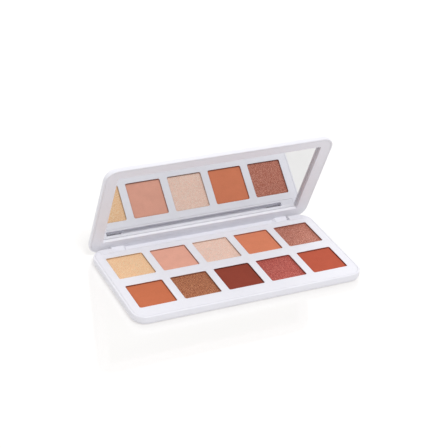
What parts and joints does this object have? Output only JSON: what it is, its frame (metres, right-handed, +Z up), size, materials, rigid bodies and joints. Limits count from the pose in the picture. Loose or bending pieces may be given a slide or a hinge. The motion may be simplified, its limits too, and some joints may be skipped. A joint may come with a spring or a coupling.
{
  "type": "eyeshadow palette",
  "caption": "Slim rectangular make-up palette with square pressed-powder wells in a shallow base and a hinged lid holding a rectangular mirror.",
  "frame": {"origin": "centre of the flat underside of the base, on the table", "axes": "+Z up, +X to the user's right along the long side, +Y to the rear where the hinge is; the lid stands 70 degrees open"},
  "size_m": [0.1584, 0.085, 0.077],
  "materials": {
    "case": "satin white, moulded",
    "pan_metal": "pressed tin, plain",
    "mirror": "silvered glass",
    "adhesive": "double-sided tape",
    "pin_steel": "drawn wire",
    "magnet": "nickel plated",
    "powder_front_1": "matte pressed powder, terracotta",
    "powder_front_2": "shimmer pressed powder, bronze",
    "powder_front_3": "matte pressed powder, dark maroon",
    "powder_front_4": "shimmer pressed powder, red rose",
    "powder_front_5": "matte pressed powder, brick",
    "powder_rear_1": "satin pressed powder, yellow gold",
    "powder_rear_2": "matte pressed powder, salmon",
    "powder_rear_3": "shimmer pressed powder, champagne",
    "powder_rear_4": "matte pressed powder, orange",
    "powder_rear_5": "shimmer pressed powder, rose brown"
  },
  "bodies": {
    "base": {"base_shell": "case", "pan_tray": "case", "pan_front_1": "pan_metal", "powder_front_1": "powder_front_1", "pan_front_2": "pan_metal", "powder_front_2": "powder_front_2", "pan_front_3": "pan_metal", "powder_front_3": "powder_front_3", "pan_front_4": "pan_metal", "powder_front_4": "powder_front_4", "pan_front_5": "pan_metal", "powder_front_5": "powder_front_5", "pan_rear_1": "pan_metal", "powder_rear_1": "powder_rear_1", "pan_rear_2": "pan_metal", "powder_rear_2": "powder_rear_2", "pan_rear_3": "pan_metal", "powder_rear_3": "powder_rear_3", "pan_rear_4": "pan_metal", "powder_rear_4": "powder_rear_4", "pan_rear_5": "pan_metal", "powder_rear_5": "powder_rear_5", "hinge_pin_left": "pin_steel", "base_magnet_left": "magnet", "hinge_pin_right": "pin_steel", "base_magnet_right": "magnet"},
    "lid": {"lid_cover": "case", "mirror_frame": "case", "mirror": "mirror", "mirror_adhesive": "adhesive", "lid_magnet_left": "magnet", "lid_magnet_right": "magnet"}
  },
  "joints": [
    {"name": "lid_hinge", "type": "hinge", "parent": "base", "child": "lid", "pos_m": [0, 0.0378, 0.0023], "axis": [-1, 0, 0], "range_deg": [-70, 25]}
  ]
}
